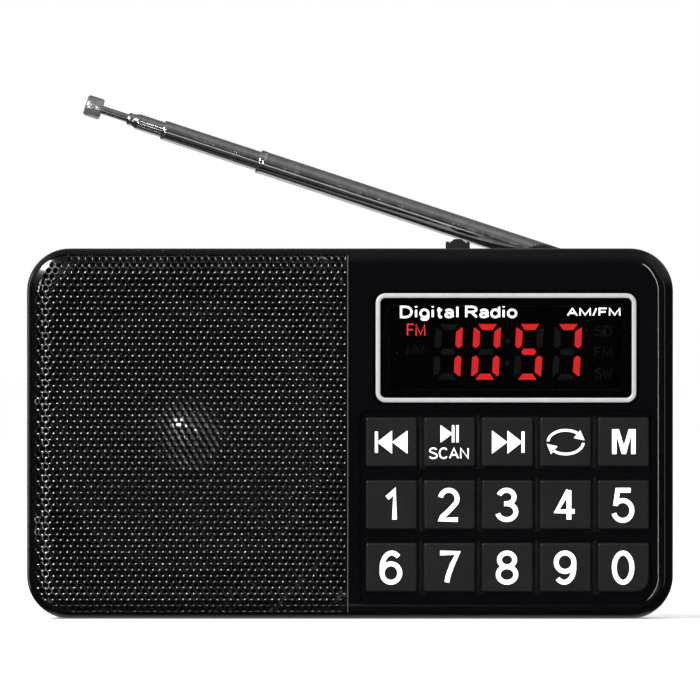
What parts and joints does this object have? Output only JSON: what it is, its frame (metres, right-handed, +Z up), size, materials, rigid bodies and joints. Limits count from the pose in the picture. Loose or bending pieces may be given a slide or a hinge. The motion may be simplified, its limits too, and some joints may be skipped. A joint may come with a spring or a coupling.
{
  "type": "pocket radio",
  "caption": "Slim pocket radio: perforated speaker grille on the left, number display over a keypad on the right, thumbwheel, slide switch and folding telescopic antenna on top.",
  "frame": {"origin": "centre of the base, on the surface the radio stands on", "axes": "+X to the right seen from the front, -Y towards the front, +Z up"},
  "size_m": [0.128, 0.0234, 0.104],
  "materials": {
    "gloss_black": "high gloss moulded plastic",
    "satin_black": "fine satin texture",
    "grille_black": "gloss enamelled perforated sheet",
    "silver_paint": "satin silver with a fine sparkle",
    "smoked_window": "polished smoked acrylic",
    "display_black": "matte",
    "lit_red": "lit light-emitting segments",
    "dark_segment": "unlit light-emitting segments",
    "grey_silicone": "matte silicone",
    "dome_steel": "satin",
    "green_board": "solder mask",
    "chip_black": "moulded epoxy",
    "can_aluminium": "satin",
    "ferrite_grey": "sintered",
    "copper_wire": "enamelled copper windings",
    "zinc_steel": "zinc plated",
    "surround_rubber": "soft",
    "spider_cloth": "doped cloth",
    "cone_paper": "pressed pulp",
    "dust_cap_film": "thin film",
    "control_black": "satin",
    "socket_steel": "nickel plated",
    "socket_black": "satin",
    "battery_wrap": "printed wrap",
    "contact_gold": "plated",
    "screw_steel": "black zinc",
    "antenna_chrome": "polished plating",
    "key_grey": "fine spark texture"
  },
  "bodies": {
    "case": {"front_shell": "gloss_black", "rear_shell": "satin_black", "speaker_grille": "grille_black", "display_bezel": "silver_paint", "display_lens": "smoked_window", "led_display": "display_black", "led_segments_lit": "lit_red", "led_segments_unlit": "dark_segment", "keypad_mat": "grey_silicone", "snap_domes": "dome_steel", "main_board": "green_board", "radio_chip": "chip_black", "control_chip": "chip_black", "amplifier_chip": "chip_black", "capacitors": "can_aluminium", "ferrite_bar": "ferrite_grey", "ferrite_coil": "copper_wire", "speaker_frame": "zinc_steel", "speaker_top_plate": "zinc_steel", "speaker_magnet": "ferrite_grey", "speaker_yoke": "zinc_steel", "speaker_surround": "surround_rubber", "speaker_spider": "spider_cloth", "volume_potentiometer": "dome_steel", "power_switch": "dome_steel", "usb_socket": "socket_steel", "card_slot": "socket_steel", "headphone_jack": "socket_black", "charge_socket": "socket_steel", "battery": "battery_wrap", "battery_contacts": "contact_gold", "case_screws": "screw_steel"},
    "key_previous_body": {"key_previous": "key_grey"},
    "key_play_scan_body": {"key_play_scan": "key_grey"},
    "key_next_body": {"key_next": "key_grey"},
    "key_repeat_body": {"key_repeat": "key_grey"},
    "key_mode_body": {"key_mode": "key_grey"},
    "key_1_body": {"key_1": "key_grey"},
    "key_2_body": {"key_2": "key_grey"},
    "key_3_body": {"key_3": "key_grey"},
    "key_4_body": {"key_4": "key_grey"},
    "key_5_body": {"key_5": "key_grey"},
    "key_6_body": {"key_6": "key_grey"},
    "key_7_body": {"key_7": "key_grey"},
    "key_8_body": {"key_8": "key_grey"},
    "key_9_body": {"key_9": "key_grey"},
    "key_0_body": {"key_0": "key_grey"},
    "cone_body": {"speaker_cone": "cone_paper", "speaker_dust_cap": "dust_cap_film", "voice_coil": "copper_wire"},
    "volume_wheel_body": {"volume_wheel": "control_black"},
    "power_slider_body": {"power_slider": "control_black"},
    "battery_door_body": {"battery_door": "satin_black"},
    "antenna_swivel": {"antenna_base": "antenna_chrome", "antenna_pin": "antenna_chrome"},
    "antenna_outer": {"antenna_outer_tube": "antenna_chrome"},
    "antenna_middle": {"antenna_middle_tube": "antenna_chrome"},
    "antenna_inner": {"antenna_inner_tube": "antenna_chrome"},
    "antenna_end": {"antenna_rod": "antenna_chrome", "antenna_tip": "antenna_chrome"}
  },
  "joints": [
    {"name": "key_previous_press", "type": "slide", "parent": "case", "child": "key_previous_body", "axis": [0, 1, 0], "range_m": [0, 0.0008], "stiffness_N_per_m": 500, "springref_m": -0.0003},
    {"name": "key_play_scan_press", "type": "slide", "parent": "case", "child": "key_play_scan_body", "axis": [0, 1, 0], "range_m": [0, 0.0008], "stiffness_N_per_m": 500, "springref_m": -0.0003},
    {"name": "key_next_press", "type": "slide", "parent": "case", "child": "key_next_body", "axis": [0, 1, 0], "range_m": [0, 0.0008], "stiffness_N_per_m": 500, "springref_m": -0.0003},
    {"name": "key_repeat_press", "type": "slide", "parent": "case", "child": "key_repeat_body", "axis": [0, 1, 0], "range_m": [0, 0.0008], "stiffness_N_per_m": 500, "springref_m": -0.0003},
    {"name": "key_mode_press", "type": "slide", "parent": "case", "child": "key_mode_body", "axis": [0, 1, 0], "range_m": [0, 0.0008], "stiffness_N_per_m": 500, "springref_m": -0.0003},
    {"name": "key_1_press", "type": "slide", "parent": "case", "child": "key_1_body", "axis": [0, 1, 0], "range_m": [0, 0.0008], "stiffness_N_per_m": 500, "springref_m": -0.0003},
    {"name": "key_2_press", "type": "slide", "parent": "case", "child": "key_2_body", "axis": [0, 1, 0], "range_m": [0, 0.0008], "stiffness_N_per_m": 500, "springref_m": -0.0003},
    {"name": "key_3_press", "type": "slide", "parent": "case", "child": "key_3_body", "axis": [0, 1, 0], "range_m": [0, 0.0008], "stiffness_N_per_m": 500, "springref_m": -0.0003},
    {"name": "key_4_press", "type": "slide", "parent": "case", "child": "key_4_body", "axis": [0, 1, 0], "range_m": [0, 0.0008], "stiffness_N_per_m": 500, "springref_m": -0.0003},
    {"name": "key_5_press", "type": "slide", "parent": "case", "child": "key_5_body", "axis": [0, 1, 0], "range_m": [0, 0.0008], "stiffness_N_per_m": 500, "springref_m": -0.0003},
    {"name": "key_6_press", "type": "slide", "parent": "case", "child": "key_6_body", "axis": [0, 1, 0], "range_m": [0, 0.0008], "stiffness_N_per_m": 500, "springref_m": -0.0003},
    {"name": "key_7_press", "type": "slide", "parent": "case", "child": "key_7_body", "axis": [0, 1, 0], "range_m": [0, 0.0008], "stiffness_N_per_m": 500, "springref_m": -0.0003},
    {"name": "key_8_press", "type": "slide", "parent": "case", "child": "key_8_body", "axis": [0, 1, 0], "range_m": [0, 0.0008], "stiffness_N_per_m": 500, "springref_m": -0.0003},
    {"name": "key_9_press", "type": "slide", "parent": "case", "child": "key_9_body", "axis": [0, 1, 0], "range_m": [0, 0.0008], "stiffness_N_per_m": 500, "springref_m": -0.0003},
    {"name": "key_0_press", "type": "slide", "parent": "case", "child": "key_0_body", "axis": [0, 1, 0], "range_m": [0, 0.0008], "stiffness_N_per_m": 500, "springref_m": -0.0003},
    {"name": "cone_travel", "type": "slide", "parent": "case", "child": "cone_body", "axis": [0, 1, 0], "range_m": [-0.0005, 0.0005], "stiffness_N_per_m": 2000, "deforming": ["speaker_surround", "speaker_spider"]},
    {"name": "volume_turn", "type": "hinge", "parent": "case", "child": "volume_wheel_body", "pos_m": [0.0382, 0, 0.0687], "axis": [0, 1, 0], "range_deg": [-140, 140]},
    {"name": "power_slide", "type": "slide", "parent": "case", "child": "power_slider_body", "axis": [1, 0, 0], "range_m": [0, 0.002]},
    {"name": "battery_door_swing", "type": "hinge", "parent": "case", "child": "battery_door_body", "pos_m": [0.01725, 0.01095, 0.0101], "axis": [-1, 0, 0], "range_deg": [0, 80]},
    {"name": "antenna_turn", "type": "hinge", "parent": "case", "child": "antenna_swivel", "pos_m": [0.0448, 0.00875, 0.0674], "axis": [0, 0, -1], "range_deg": [0, 180]},
    {"name": "antenna_tilt", "type": "hinge", "parent": "antenna_swivel", "child": "antenna_outer", "pos_m": [0.0448, 0.00875, 0.0701], "axis": [0, 1, 0], "range_deg": [-18.2, 71.8]},
    {"name": "antenna_middle_slide", "type": "slide", "parent": "antenna_outer", "child": "antenna_middle", "axis": [-0.95, 0, 0.3123], "range_m": [-0.0189, 0.0294]},
    {"name": "antenna_inner_slide", "type": "slide", "parent": "antenna_middle", "child": "antenna_inner", "axis": [-0.95, 0, 0.3123], "range_m": [-0.0061, 0.0407]},
    {"name": "antenna_rod_slide", "type": "slide", "parent": "antenna_inner", "child": "antenna_end", "axis": [-0.95, 0, 0.3123], "range_m": [-0.0052, 0.0412]}
  ]
}
